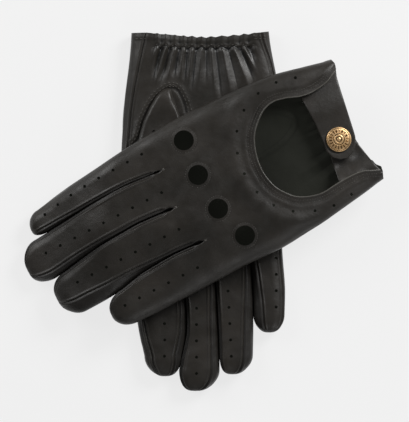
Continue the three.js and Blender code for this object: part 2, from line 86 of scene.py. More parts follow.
GLOVES = {
    "left": {
        "up": 1, "wrist": (95.8, 57.3), "turn": 117.5,
        "edges": [
            [(40.5, 0), (45, 14), (50, 35), (52, 64), (53.2, 92), (52.8, 110), (51, 140), (48.3, 163), (46.6, 181),
             (44.4, 195), (42.2, 205)],
            [(18, 0), (22, 60), (27.5, 100), (28.5, 123), (31, 150), (30, 175), (27.8, 200), (26.5, 214)],
            [(0.5, 0), (2, 60), (3, 100), (3.7, 127), (5.7, 151), (4.5, 180), (1.5, 200), (-1, 214)],
            [(-18, 0), (-21, 60), (-23.5, 100), (-23.3, 120), (-21.8, 140), (-23, 165), (-27.5, 186), (-28, 205)],
            [(-40.4, 0), (-42.4, 12), (-47, 45), (-50, 78), (-48.8, 105), (-49.6, 140), (-49.6, 170), (-49, 183)],
        ],
        "crotches": (123.0, 127.0, 120.0),
        "tips": ((32.5, 214.2), (11, 228), (-13, 219.8), (-38.5, 193.8)),
        "curl_at": ((38.5, 166), (17, 176), (-10, 170), (-36, 156)),
        "wrist_line": [(-40.5, 2), (-36.1, 0.3), (-33, -0.4), (-29, 2.2), (-21.6, 5.4), (-10.6, 6.2), (-3.9, 5.6),
                       (9.1, 3.2), (22, 0.8), (30, -1.6), (34.3, -3.2), (38, -4.2), (41.5, -3)],
        "strap_least": -4,
        "punched": (
            [(43.3, 130), (42.5, 161.7), (41, 182.9), (37.6, 203.5)], [(16.1, 130), (16.1, 213)],
            [(-9.4, 131), (-9.4, 203.5)], [(-36.2, 121.5), (-36.2, 184)],
        ),
    },
    "right": {
        "up": -1, "wrist": (-2.5, 112.8), "turn": 180.0,
        "edges": [
            [(43.5, 0), (44.7, 17), (48, 42), (50, 74), (50.5, 100), (48.5, 135), (43, 165), (40, 182), (37.9, 195),
             (34.8, 205)],
            [(21, 0), (24, 60), (24, 100), (19, 122), (12.5, 150), (9, 172), (8.5, 190), (10.7, 200), (14, 214)],
            [(0, 0), (-1, 60), (-3, 100), (-6, 125), (-9.5, 155), (-11.3, 185), (-12, 206), (-12, 214)],
            [(-21, 0), (-24, 60), (-26, 100), (-28.5, 118), (-32, 149), (-33.2, 168), (-33.4, 190), (-33, 205)],
            [(-42.8, 0), (-44.7, 12), (-48.5, 30), (-50, 70), (-50, 100), (-51.7, 140), (-53.6, 162), (-53, 180)],
        ],
        "crotches": (122.0, 125.0, 118.0),
        "tips": ((22.5, 217.2), (3.4, 226.5), (-20, 216), (-43.2, 189.6)),
        "curl_at": ((24, 191), (-0.5, 177), (-22, 166), (-43.5, 153)),
        "wrist_line": [(-43, -0.6), (-38.4, 0), (-21.4, 1.9), (-2.5, 3.1), (16.4, 1.9), (34, 0.2), (43.5, 0.4)],
        "strap_least": 1.0,
        "punched": (
            [(33, 133.5), (26, 162), (22.8, 183.3), (22.8, 207)], [(1.5, 133), (2.5, 173), (2.5, 217)],
            [(-15, 132.5), (-17.3, 162), (-19.5, 205)], [(-46, 122), (-47.7, 142), (-47.7, 175)],
        ),
    },
}

# How far in from each finger's silhouette its seam shows, as (inset, y) rows, on the upper (1) or lower (-1) sheet.
PLAIN_SEAM = [(1.0, 120), (1.1, 230)]
SEAMS = {
    ("left", 0, "little", 1): [(0.9, 120), (1.2, 150), (1.8, 180), (3.5, 205)],
    ("left", 1, "little", 1): [(2, 125), (2.2, 150), (2.8, 180), (4.5, 200), (5, 214)],
    ("left", 2, "little", 1): [(2, 120), (2.3, 144), (3.8, 162), (8, 182), (9.5, 200)],
    ("left", 3, "little", 1): [(0.5, 0), (0.5, 135), (2, 155), (4, 172), (4.5, 190)],
    ("left", 3, "little", -1): [(6, 0), (5, 60), (4, 190)],
    ("right", 0, "thumb", 1): [(9, 0), (6.5, 17), (5.5, 30), (4.2, 52), (4, 75), (4.2, 180), (5, 215)],
    ("right", 0, "thumb", -1): [(0.6, 0), (0.6, 230)],
    ("right", 0, "little", 1): [(1.5, 120), (3, 150), (4.4, 180), (4.4, 215)],
    ("right", 1, "little", 1): [(1.5, 120), (3.5, 150), (5, 180), (5.5, 215)],
    ("right", 2, "little", 1): [(1.5, 120), (4, 150), (5.8, 180), (6, 215)],
    ("right", 3, "thumb", 1): [(1.5, 118), (3.5, 142), (5, 162), (6.5, 181)],
    ("right", 3, "little", 1): [(5, 0), (4, 8), (2.4, 14), (1.8, 25), (1.6, 200)],
    ("right", 3, "little", -1): [(0.6, 0), (0.6, 230)],
}

# Outlines and places in a glove's own plane, the same on both gloves. The strap's and the tab's edges are (y, x).
KEYHOLE = [
    (38.5, -12), (33.6, -1.8), (29.7, 6.1), (28.4, 17.6), (29.7, 25.6), (32.9, 34.1), (34.2, 42.8), (30.6, 51.9),
    (19.2, 62.6), (2.2, 67.4), (-12.5, 65.3), (-22.6, 58.6), (-27.6, 51.5), (-30.6, 40.9), (-29.8, 29.7),
    (-29.4, 18.8), (-30.4, 10.9), (-33.5, 3.9), (-39.5, -12),
]
KNUCKLES = ((38.8, 102.5), (15.4, 104.6), (-9.2, 103.2), (-32, 96))
KEYHOLE_DOTS = (
    (41.3, 22.1), (44.3, 34.2), (43.4, 47.4), (38.1, 60.2), (28.5, 70.2), (16.1, 76.3), (2.6, 78.4), (-11.3, 76.7),
    (-23.4, 71.1), (-32.4, 62.1), (-38.5, 49.7), (-41.1, 37.6), (-40, 24.5),
)
THUMB_ARC = [(42.8, 71.2), (39.1, 66.5), (36, 56), (31.9, 46.8), (26.5, 39.6), (20.3, 35.3), (15.2, 36.2),
             (11.2, 42.8), (9, 50), (7.5, 62), (7, 80)]
THUMB_LEFT = [(20.6, 35.3), (23.5, 36.1), (26, 38), (28.5, 41), (31.9, 46.8), (36, 56), (39.1, 66.5), (40.8, 74),
              (40.3, 82), (37.5, 88), (34, 92), (29.5, 94.5), (25.2, 95.3)]
THUMB_RIGHT = [(20, 35.3), (18.8, 36), (17.9, 38.7), (15.4, 46), (12.8, 53), (10.8, 62), (10, 72), (11.2, 82),
               (13.8, 88), (17.3, 92), (21.5, 94.5), (24.6, 95.3)]
THUMB_DOTS = ((29.5, 62.7), (29.8, 73), (28.5, 83))
THUMB_HEIGHT = 3.8        # how far the thumb stands out from the palm
THUMB_CLEARANCE = 0.25    # between the thumb and the palm
STRAP_LOW = [(-3, 37.5), (-2.3, 34), (-1.2, 29), (0.2, 22), (2.4, 9.1), (4.6, -3.9), (5.6, -9), (8, -13.6),
             (11.5, -16.9), (15.2, -18.3), (16, -18.4)]
STRAP_HIGH = [(25.2, 37.5), (25.2, 34), (25, 29), (24.6, 22), (24.5, 9.1), (25.4, -3.9), (26.3, -9), (24.6, -14),
              (21, -17.2), (17, -18.3), (16.2, -18.4)]
TAB_LOW = [(0.6, -37), (3.4, -27), (5.2, -18), (7, -9), (9, -4), (12, -1)]
TAB_HIGH = [(28.8, -37), (27.6, -27), (26.2, -18), (24.6, -9), (22.5, -4), (19, -1)]
# The height of what the upper glove lies on: high over the lower glove, lower beside it, down to the floor.
BED = {"high": 20.7, "low": 13.5, "low_end": -50, "low_start": -8, "tip": -112, "tip_start": -55,
       "wrist_start": 50, "wrist_blend": 20, "wrist_slope": 0.12}
KEYHOLE_STITCH_ROWS = (2.3, 4.1)   # how far outside the keyhole's edge its rows of stitches run
KEYHOLE_SIDE = -1                  # the keyhole's outside is on this side of its line (1 is left)
THUMB_ARC_SIDE = 1                 # the same for the thumb's seam

FLOOR_GLOW = 0.77
WORLD_LIGHT = 0.12
LIGHTS = (  # name, place, size, power, in metres and watts
    ("key", (0.75, 0.7, 0.7), (0.5, 0.5), 14.5),
    ("side", (-0.85, 0.6, 0.65), (0.7, 0.7), 7),
    ("fill", (0.5, -0.85, 0.7), (0.6, 0.5), 2),
)


# ---- Small helpers ---------------------------------------------------------------------------------
def smooth(t):
    t = np.clip(t, 0, 1)
    return t * t * (3 - 2 * t)


def table(rows, y):
    """Rows of (value, y), read at y on a softened line."""
    return (rows_at(rows, y - SOFTENING) + 2 * rows_at(rows, y) + rows_at(rows, y + SOFTENING)) / 4


def curve_points(points, step=0.8):
    """A smooth curve through points, sampled about every step."""
    p = np.array(points, float)
    q = np.vstack([2 * p[0] - p[1], p, 2 * p[-1] - p[-2]])
    out = []
    for i in range(1, len(q) - 2):
        a, b, c, d = q[i - 1], q[i], q[i + 1], q[i + 2]
        n = max(2, int(np.linalg.norm(c - b) / step))
        t = np.linspace(0, 1, n, endpoint=False)[:, None]
        out.append(0.5 * (2 * b + (c - a) * t + (2 * a - 5 * b + 4 * c - d) * t**2 + (3 * b - a - 3 * c + d) * t**3))
    return np.vstack(out + [p[-1:]])


def distance_to(points, line):
    """Distance from each point to a polyline, and the signed side that it lies on."""
    best = np.full(len(points), 1e9)
    side = np.ones(len(points))
    for a, b in zip(line[:-1], line[1:]):
        ab = b - a
        t = np.clip(((points - a) @ ab) / (ab @ ab), 0, 1)
        off = points - (a + t[:, None] * ab)
        d = np.hypot(off[:, 0], off[:, 1])
        near = d < best
        best = np.where(near, d, best)
        side = np.where(near, np.sign(ab[0] * off[:, 1] - ab[1] * off[:, 0]), side)
    return best, side


def rows_at(rows, x, by=1):
    """Rows of (value, x), or of (x, value) if by is 0, in either order of x, read at x."""
    rows = sorted(rows, key=lambda row: row[by])
    return np.interp(x, [row[by] for row in rows], [row[1 - by] for row in rows])


def eased(count):
    """Numbers from 0 to 1, closer together towards both ends, in one row."""
    return (0.5 - 0.5 * np.cos(math.pi * np.linspace(0, 1, count)))[None, :]


def grid_quads(ids):
    """The quads between the rows and columns of a grid of vertex numbers."""
    return np.stack([ids[:-1, :-1], ids[1:, :-1], ids[1:, 1:], ids[:-1, 1:]], -1).reshape(-1, 4)


def waves(points, scale, seed, count=24):
    """Smooth random relief, about -1 to 1, as a sum of waves of about this length."""
    rng = np.random.default_rng(seed)
    total = np.zeros(len(points))
    for _ in range(count):
        way = rng.normal(size=points.shape[1])
        way /= np.linalg.norm(way)
        length = scale * rng.uniform(0.7, 1.6)
        total += np.sin(points @ way * (2 * math.pi / length) + rng.uniform(0, 2 * math.pi))
    return total / math.sqrt(count)


def to_world(glove, p):
    """Points of the glove's plane as points of the frame, still in millimetres, without its bed's height."""
    a = math.radians(glove["turn"])
    c, s = math.cos(a), math.sin(a)
    out = np.array(p, float)
    x, y = out[:, 0].copy(), out[:, 1].copy()
    out[:, 0] = glove["wrist"][0] + x * c - y * s
    out[:, 1] = glove["wrist"][1] + x * s + y * c
    return out


def bed_height(glove, world):
    """Height of what the glove lies on, as the CAD model has it."""
    if glove["up"] < 0:
        return np.zeros(len(world))
    x, y = world[:, 0], world[:, 1]
    over = smooth((y - BED["low_end"]) / (BED["low_start"] - BED["low_end"]))
    height = BED["low"] + (BED["high"] - BED["low"]) * over
    past = np.maximum(0, x - BED["wrist_start"])
    blend = np.minimum(past, BED["wrist_blend"])
    sag = BED["wrist_slope"] * (blend**2 / (2 * BED["wrist_blend"]) + past - blend)
    return height * smooth((x - BED["tip"]) / (BED["tip_start"] - BED["tip"])) - sag


def place(glove, p):
    """Points of the glove's plane, laid on its bed, in metres."""
    p = np.asarray(p, float)
    world = to_world(glove, p.reshape(-1, 3))
    world[:, 2] += bed_height(glove, world)
    return world.reshape(p.shape) * MM


def toward_back(glove, height):
    """A height above the middle plane, towards the back of the hand, as a z in the glove's plane."""
    return HALF_HAND + glove["up"] * np.asarray(height, float)


# ---- Materials ---------------------------------------------------------------------------------------
def new_material(name, color, roughness, metallic=0.0, specular=0.5):
    mat = bpy.data.materials.new(name)
    mat.use_nodes = True
    shader = mat.node_tree.nodes["Principled BSDF"]
    shader.inputs["Base Color"].default_value = (*color, 1)
    shader.inputs["Roughness"].default_value = roughness
    shader.inputs["Metallic"].default_value = metallic
    shader.inputs["Specular IOR Level"].default_value = specular
    return mat, mat.node_tree, shader


def link(tree, a, out, b, into):
    tree.links.new(a.outputs[out], b.inputs[into])


def new_node(tree, kind, **values):
    """A shader node of this kind, with values for some of its inputs."""
    node = tree.nodes.new(f"ShaderNode{kind}")
    for socket, value in values.items():
        node.inputs[socket].default_value = value
    return node


def noise(tree, coords, scale, detail=4.0, rough=0.5):
    node = new_node(tree, "TexNoise", Scale=scale, Detail=detail, Roughness=rough)
    link(tree, coords, "Object", node, "Vector")
    return node


def ramp(tree, source, out, stops):
    """A colour ramp over a node's output, through stops of (position, colour)."""
    node = new_node(tree, "ValToRGB")
    elements = node.color_ramp.elements
    elements[0].position, elements[0].color = stops[0][0], (*stops[0][1], 1)
    elements[1].position, elements[1].color = stops[-1][0], (*stops[-1][1], 1)
    for position, color in stops[1:-1]:
        elements.new(position).color = (*color, 1)
    link(tree, source, out, node, "Fac")
    return node


def bump(tree, source, out, strength, distance, before=None):
    node = new_node(tree, "Bump", Strength=strength, Distance=distance)
    link(tree, source, out, node, "Height")
    if before:
        link(tree, before, "Normal", node, "Normal")
    return node


def leather_material(name, dark, light, rough, grain=0.3, specular=0.35):
    """Smooth leather: blotches of tone and gloss, painted shade that darkens its grooves and hollows, pebbled grain,
    and fine creases.
    """
    mat, tree, shader = new_material(name, dark, rough, specular=specular)
    coords = new_node(tree, "TexCoord")
    tone = ramp(tree, noise(tree, coords, 38, 6), "Fac", [(0.3, dark), (0.72, light)])
    # Painted shade: the colour darkens to 0.15 where the surface is hollow, in grooves, pleat valleys and slits.
    groove_shade = ramp(tree, new_node(tree, "NewGeometry"), "Pointiness", [(0.46, (0.15,) * 3), (0.495, (1, 1, 1))])
    tone_with_groove_shade = new_node(tree, "VectorMath")
    tone_with_groove_shade.operation = "MULTIPLY"
    link(tree, tone, "Color", tone_with_groove_shade, 0)
    link(tree, groove_shade, "Color", tone_with_groove_shade, 1)
    link(tree, tone_with_groove_shade, "Vector", shader, "Base Color")
    gloss = ramp(tree, noise(tree, coords, 140, 4), "Fac", [(0.3, (rough - 0.05,) * 3), (0.7, (rough + 0.09,) * 3)])
    link(tree, gloss, "Color", shader, "Roughness")
    cells = new_node(tree, "TexVoronoi", Scale=1500)
    cells.feature = "DISTANCE_TO_EDGE"
    link(tree, coords, "Object", cells, "Vector")
    pebbles = bump(tree, cells, "Distance", grain, 0.0001)
    creases = bump(tree, noise(tree, coords, 380, 6, 0.62), "Fac", 0.3, 0.0005, pebbles)
    link(tree, creases, "Normal", shader, "Normal")
    return mat


def metal_material(name, color, worn, rough):
    """Plated metal with darker patina and fine scratches."""
    mat, tree, shader = new_material(name, color, rough, metallic=1.0)
    coords = new_node(tree, "TexCoord")
    patina = ramp(tree, noise(tree, coords, 420, 6), "Fac", [(0.36, worn), (0.56, color)])
    link(tree, patina, "Color", shader, "Base Color")
    scratches = bump(tree, noise(tree, coords, 1400, 3), "Fac", 0.12, 0.0001)
    link(tree, scratches, "Normal", shader, "Normal")
    return mat


def thread_material(name, color, scale=900):
    """Twisted thread or ribbed tape, with painted shade darkening the twist's grooves."""
    mat, tree, shader = new_material(name, color, 0.55)
    coords = new_node(tree, "TexCoord")
    twist = new_node(tree, "TexWave", Scale=scale, Distortion=1.5)
    link(tree, coords, "Object", twist, "Vector")
    # Painted shade: the low parts of the twist are coloured darker, down to 0.6 of the thread's colour.
    tone = ramp(tree, twist, "Fac", [(0.2, tuple(c * 0.6 for c in color)), (0.8, color)])
    link(tree, tone, "Color", shader, "Base Color")
    ribs = bump(tree, twist, "Fac", 0.5, 0.0001)
    link(tree, ribs, "Normal", shader, "Normal")
    return mat


LEATHER_MAT = leather_material("leather", (0.0105, 0.0092, 0.0071), (0.0225, 0.0192, 0.0156), 0.42, 0.3, 0.46)
GUSSET_MAT = leather_material("gusset_leather", (0.0095, 0.0085, 0.0072), (0.0145, 0.0128, 0.011), 0.45, 0.3, 0.42)
INSIDE_MAT = leather_material("suede_inside", (0.0095, 0.0102, 0.0078), (0.016, 0.0166, 0.013), 0.9, 0.8, 0.15)
suede = INSIDE_MAT.node_tree.nodes["Principled BSDF"]   # a faint glow stands for light that soaks through
suede.inputs["Emission Color"].default_value = (1, 1.05, 0.86, 1)
suede.inputs["Emission Strength"].default_value = 0.0045
# Paler rims of every piece: partly the raw cut edge's own tone, partly a painted highlight along the edges.
EDGE_AND_HIGHLIGHT_MAT = leather_material("cut_edge_and_highlight", (0.03, 0.029, 0.025), (0.06, 0.057, 0.05), 0.6)
BINDING_MAT = leather_material("binding_leather", (0.045, 0.042, 0.036), (0.075, 0.071, 0.062), 0.38, 0.3, 0.5)
BRASS_MAT = metal_material("brass", (0.76, 0.51, 0.27), (0.62, 0.39, 0.18), 0.42)
BRASS_DARK_MAT = metal_material("brass_recess", (0.1, 0.058, 0.025), (0.06, 0.034, 0.015), 0.6)
NICKEL_MAT = metal_material("nickel", (0.5, 0.47, 0.43), (0.3, 0.28, 0.25), 0.35)
THREAD_MAT = thread_material("thread", (0.06, 0.055, 0.048))
# Pale thread for the tacks, so that they show as short bright lines.
PALE_THREAD_MAT = thread_material("pale_thread", (0.095, 0.088, 0.078))
ELASTIC_MAT = thread_material("elastic_tape", (0.012, 0.012, 0.013), 500)
LEATHER_SET = (LEATHER_MAT, INSIDE_MAT, EDGE_AND_HIGHLIGHT_MAT)
GUSSET_SET = (GUSSET_MAT, INSIDE_MAT, EDGE_AND_HIGHLIGHT_MAT)


# ---- The glove's section -----------------------------------------------------------------------------
def finger_frame(glove, finger, y):
    """Silhouette, height and rounding of one finger's strip at y, from the wrist to the fingertip."""
    tip_x, tip_y = glove["tips"][finger]
    thumb_edge, little_edge = glove["edges"][finger:finger + 2]
    half_there = (table(thumb_edge, tip_y - 12) - table(little_edge, tip_y - 12)) / 2
    reach = min(13.0, half_there * 1.15)
    turn = tip_y - reach
    held = np.minimum(y, turn)
    t = np.clip((y - turn) / reach, 0, 1)
    shrink = np.sqrt(np.maximum(0, 1 - t**2))
    thumb_x, little_x = table(thumb_edge, held), table(little_edge, held)
    if finger > 0:
        thumb_x = thumb_x - SLIT_GAP * smooth((y - crotch_beside(glove, finger, "thumb")) / 3)
    if finger < 3:
        little_x = little_x + SLIT_GAP * smooth((y - crotch_beside(glove, finger, "little")) / 3)
    middle = (thumb_x + little_x) / 2
    half = (thumb_x - little_x) / 2 * shrink
    middle = middle + (tip_x - middle) * t**2
    high = HALF_HAND + (HALF_FINGER - HALF_HAND) * smooth((y - 118) / 14)
    thick = high * np.maximum(shrink, 1e-9) ** 0.7
    return {"y": y, "thumb": middle + half, "little": middle - half, "half": half, "high": thick, "mid": high * 0.94,
            "turn": turn, "reach": reach, "shrink": shrink}


def is_outer(finger, side):
    return (finger, side) in ((0, "thumb"), (3, "little"))


def crotch_beside(glove, finger, side):
    """Where the slit on this side of a finger ends."""
    return glove["crotches"][finger - 1 if side == "thumb" else finger]


def side_rules(name, finger, side, f, sheet):
    """At each y: how far the side rolls, the seam's inset, and how much of that inset shows in plan."""
    y, shrink = f["y"], f["shrink"]
    full_half = f["half"] / np.maximum(shrink, 1e-9)
    seam = table(SEAMS.get((name, finger, side, sheet), PLAIN_SEAM), y)
    if is_outer(finger, side):
        roll = HAND_ROLL + (0.8 * full_half - HAND_ROLL) * smooth((y - 95) / 40)
        shown = np.ones_like(y)
    else:
        along = y - crotch_beside(GLOVES[name], finger, side)
        narrow = np.maximum(CROTCH_ROLL, 1.25 * seam)
        roll = narrow + np.maximum(0, 0.45 * full_half - narrow) * smooth((along - 25) / 65)
        before = roll * (1 - 0.35 * smooth((along + 4) / 4))
        seam = before + (seam - before) * smooth(along / 7)
        shown = smooth(along / 3.5)
    roll = roll * shrink
    seam = np.minimum(seam, roll * 4) * np.where(shrink < 1, shrink**1.3, 1)
    return np.maximum(roll, 1e-6), np.maximum(seam, 1e-7), shown


def height_at(d, roll):
    """The share of a rounded edge's full height, this far in from it."""
    t = 1 - np.clip(d / roll, 0, 1)
    return np.sqrt(np.maximum(0, 1 - t**2))


def seam_near(name, finger, side, sheet, y, distance):
    """The distance to a seam. The back's leather wraps round the outer sides, so only the palm has a seam there."""
    glove = GLOVES[name]
    if is_outer(finger, side):
        return distance if sheet != glove["up"] else np.full_like(distance, FAR)
    return distance + 3 * (1 - smooth((y - crotch_beside(glove, finger, side) - 1) / 8))[:, None]


def sheet_grid(name, finger, y, sheet):
    """The upper (1) or lower (-1) leather of one finger's strip between its seams, and each point's seam distance."""
    f = finger_frame(GLOVES[name], finger, y)
    roll_a, seam_a, shown_a = side_rules(name, finger, "thumb", f, sheet)
    roll_b, seam_b, shown_b = side_rules(name, finger, "little", f, sheet)
    u = 0.3 * np.linspace(0, 1, ACROSS + 1)[None, :] + 0.7 * eased(ACROSS + 1)
    edge_a = (f["thumb"] - shown_a * seam_a)[:, None]
    edge_b = (f["little"] + shown_b * seam_b)[:, None]
    x = edge_a + (edge_b - edge_a) * u
    from_a, from_b = edge_a - x, x - edge_b
    rise = height_at(from_a + seam_a[:, None], roll_a[:, None]) * height_at(from_b + seam_b[:, None], roll_b[:, None])
    z = f["mid"][:, None] + sheet * f["high"][:, None] * rise
    near = np.minimum(seam_near(name, finger, "thumb", sheet, y, from_a),
                      seam_near(name, finger, "little", sheet, y, from_b))
    return np.dstack([x, np.broadcast_to(y[:, None], x.shape), z]), near


def wall_grid(name, finger, side, y):
    """The leather round a finger's side, from the upper sheet's seam to the lower sheet's."""
    f = finger_frame(GLOVES[name], finger, y)
    roll_t, seam_t, shown = side_rules(name, finger, side, f, 1)
    roll_b, seam_b, _ = side_rules(name, finger, side, f, -1)

    def angle(seam, roll):
        ratio = seam / roll
        return np.where(ratio < 1, np.arccos(np.clip(1 - ratio, -1, 1)), math.pi / 2 + (ratio - 1))

    top, bottom = angle(seam_t, roll_t)[:, None], -angle(seam_b, roll_b)[:, None]
    a = top + (bottom - top) * np.linspace(0, 1, AROUND + 1)[None, :]
    roll = roll_t[:, None]
    inset = np.where(np.abs(a) < math.pi / 2, roll * (1 - np.cos(a)), roll * (1 + np.abs(a) - math.pi / 2))
    lift = np.where(np.abs(a) < math.pi / 2, np.sin(a), np.sign(a))
    out = -1 if side == "thumb" else 1
    x = (f["thumb"] if side == "thumb" else f["little"])[:, None] + out * shown[:, None] * inset
    z = f["mid"][:, None] + f["high"][:, None] * lift
    grid = np.dstack([x, np.broadcast_to(y[:, None], x.shape), z])
    step = np.linalg.norm(np.diff(grid, axis=1), axis=2)
    walked = np.concatenate([np.zeros((len(y), 1)), np.cumsum(step, axis=1)], axis=1)
    near = np.minimum(seam_near(name, finger, side, 1, y, walked),
                      seam_near(name, finger, side, -1, y, walked[:, -1:] - walked))
    return grid, near


# ---- One glove's skin ----------------------------------------------------------------------------------
def hand_rows(glove):
    y = np.append(np.arange(0, SPLIT_Y - 0.5, CELL), SPLIT_Y)
    for crotch in glove["crotches"]:
        y[np.argmin(np.abs(y - crotch))] = crotch
    return y


def finger_rows(glove, finger):
    f = finger_frame(glove, finger, np.array([SPLIT_Y]))
    straight = np.linspace(SPLIT_Y, f["turn"], int((f["turn"] - SPLIT_Y) / CELL))
    rounding = np.sin(np.linspace(0, math.pi / 2, 15))[1:]
    return np.append(straight, f["turn"] + f["reach"] * rounding)


def weld(grids):
    """One skin of grids. Each is ((points, seam distances), its piece's name, whether its faces are flipped)."""
    points, near, quads, pieces, count = [], [], [], [], 0
    for (grid, distance), piece, flip in grids:
        quad = grid_quads(np.arange(distance.size).reshape(distance.shape) + count)
        quads.append(quad[:, ::-1] if flip else quad)
        pieces += [piece] * len(quad)
        points.append(grid.reshape(-1, 3))
        near.append(distance.reshape(-1))
        count += distance.size
    points = np.vstack(points)
    _, first, inverse = np.unique(np.round(points / WELD).astype(np.int64), axis=0,
                                  return_index=True, return_inverse=True)
    inverse = inverse.reshape(-1)
    nearest = np.full(len(first), FAR)
    np.minimum.at(nearest, inverse, np.concatenate(near))
    return points[first], inverse[np.vstack(quads)], np.array(pieces), nearest


def glove_skin(name):
    """A glove's points, faces, each face's piece, and each point's distance from a seam, before any relief."""
    glove = GLOVES[name]
    rows = hand_rows(glove)
    faces = {glove["up"]: "back", -glove["up"]: "palm"}
    grids = []
    for finger, word in enumerate(FINGERS):
        tip = finger_rows(glove, finger)
        for sheet in (1, -1):
            grids.append((sheet_grid(name, finger, rows, sheet), faces[sheet], sheet < 0))
            grids.append((sheet_grid(name, finger, tip, sheet), f"{word}_{faces[sheet]}", sheet < 0))
        for side in ("thumb", "little"):
            flip = side == "thumb"
            if is_outer(finger, side):
                grids.append((wall_grid(name, finger, side, rows), "back", flip))
                grids.append((wall_grid(name, finger, side, tip), f"{word}_back", flip))
            else:
                run = np.append(rows[rows >= crotch_beside(glove, finger, side)], tip[1:])
                grids.append((wall_grid(name, finger, side, run), f"{word}_gusset_{side}ward", flip))
    return weld(grids)


def corner_normals(points, faces):
    """Smooth outward normals at the points of a skin of quads, some of them flattened to triangles."""
    a, b, c, d = (points[faces[:, i]] for i in range(4))
    n = np.cross(c - a, d - b)
    total = np.zeros_like(points)
    for i in range(4):
        np.add.at(total, faces[:, i], n)
    return total / np.maximum(np.linalg.norm(total, axis=1), 1e-12)[:, None]


# ---- Relief of the leather -----------------------------------------------------------------------------
def groove(distance, depth, width):
    """A smooth dent along a line, this far from the points."""
    return -depth * np.exp(-((distance / width) ** 2))


def seam_relief(near):
    """A sewn seam: a narrow groove between two ridges."""
    return groove(near, 0.65, 0.5) - groove(near - 1.2, 0.47, 0.42)


def gathers(x, up):
    """The palm's gathers at x, this far above the elastic, where they fan out: each one's depth and reach, and
    where x is in it."""
    rng = np.random.default_rng(8)
    numbers = np.arange(GATHERS)
    middles = np.cumsum(rng.uniform(4.4, 8.2, GATHERS)) - 44
    x = x / (1 + GATHERS_FAN * up)
    lean = np.interp(x, middles, rng.uniform(-0.1, 0.1, GATHERS))
    count = np.interp(x - lean * up, middles, numbers)
    depth = np.interp(count, numbers, rng.uniform(2.0, 3.3, GATHERS))
    reach = np.interp(count, numbers, rng.uniform(32, 60, GATHERS))
    return depth, reach, 2 * np.abs(count % 1 - 0.5)


def gathered(x):
    """1 over the gathered part of the hem, 0 beside it."""
    return smooth((34 - np.abs(x + 2.5)) / 5)


def elastic_line(x):
    """Where the elastic's zigzag seam runs across the palm's hem."""
    return 7.4 + 2.6 * gathers(x, 0)[2]


def pleats(x, y):
    """The gathers that the wrist elastic pulls into the palm, and their short facets in the hem."""
    depth, reach, valley = gathers(x, np.maximum(0, y - 9))
    below = smooth((reach - y) / 26) * smooth((y - 7) / 3)
    above = 0.45 * smooth((9 - y) / 3)
    return depth * (0.3 - valley**1.1) * (below + above)


def palm_relief(x, y):
    distance, side = distance_to(np.stack([x, y], -1), curve_points(THUMB_ARC, 2))
    outside = np.where(side > 0, smooth((distance - 2) / 11), 0)
    relief = gathered(x) * (pleats(x, y) * outside + groove(y - elastic_line(x), 1.1, 0.9))
    relief += 0.35 * smooth((4.5 - y) / 1.5) + groove(distance, 0.7, 0.7)
    return relief - groove(distance - 2.7, 0.3, 1.5) * (side > 0)


def back_relief(x, y):
    distance, _ = distance_to(np.stack([x, y], -1), curve_points(KEYHOLE, 2))
    near_row, far_row = KEYHOLE_STITCH_ROWS
    relief = -groove(distance, 0.3, 1.2) - groove(distance - 3.3, 0.16, 0.6) - groove(distance - 6.4, 0.22, 1.2)
    relief += groove(distance - near_row, 0.22, 0.5) + groove(distance - far_row, 0.3, 0.5)
    relief -= smooth((y - 30) / 30) * groove(distance - 15, 1.5, 6)
    for kx, ky in KNUCKLES:
        d = np.hypot(x - kx, y - ky)
        relief -= groove(d - KNUCKLE_RADIUS, 0.22, 0.9)
        relief += groove(d - KNUCKLE_RADIUS - 1.7, 0.22, 0.5)
    return relief


def wrinkles(p, name):
    """Soft undulation of worn leather, and creases across the fingers."""
    seed = 11 if name == "left" else 23
    relief = 0.26 * waves(p, 38, seed) + 0.08 * waves(p, 14, seed + 1) + 0.02 * waves(p, 5.5, seed + 2)
    return relief + 0.07 * smooth((p[:, 1] - 118) / 25) * waves(p * (0.35, 1, 1), 9, seed + 3)


def leather_points(name):
    """The finished outer skin and its normals, laid in place, with the leather's inner skin."""
    glove = GLOVES[name]
    points, faces, pieces, near = glove_skin(name)
    normals = corner_normals(points, faces)
    x, y = points[:, 0].copy(), points[:, 1].copy()
    up, down = smooth(normals[:, 2] * 1.5), smooth(-normals[:, 2] * 1.5)
    back, palm = (up, down) if glove["up"] > 0 else (down, up)
    relief = wrinkles(points, name)
    calm = np.ones(len(points))
    for tx, ty in glove["tips"]:
        calm = np.minimum(calm, smooth(np.hypot(x - tx, y - ty) / 7))
    relief = relief * (0.4 + 0.6 * smooth(y / 3)) * (0.3 + 0.7 * calm)
    aside = smooth((np.hypot(normals[:, 0], normals[:, 1]) - 0.8) / 0.15)
    relief = relief * (1 - aside) + 0.05 * aside
    relief += back * back_relief(x, y) + palm * palm_relief(x, y)
    relief += seam_relief(near) * (0.1 + 0.9 * calm)
    points = points + normals * relief[:, None]
    points[:, 1] += (1 - smooth(y / 18)) * rows_at(glove["wrist_line"], x, 0)
    points[:, 1] += palm * gathered(x) * (1 - smooth(y / 8)) * (0.9 * gathers(x, 0)[2] - 0.4)
    normals = corner_normals(points, faces)
    inner = points - normals * LEATHER
    if glove["up"] < 0:
        below = normals[:, 2] < -0.5
        points[:, 2] = np.maximum(points[:, 2], 0.02)
        inner[below, 2] = np.maximum(inner[below, 2], points[below, 2] + 0.3)
        inner[:, 2] = np.maximum(inner[:, 2], 0.04)
    outer = place(glove, points)
    return outer, place(glove, inner), corner_normals(outer, faces), faces, pieces


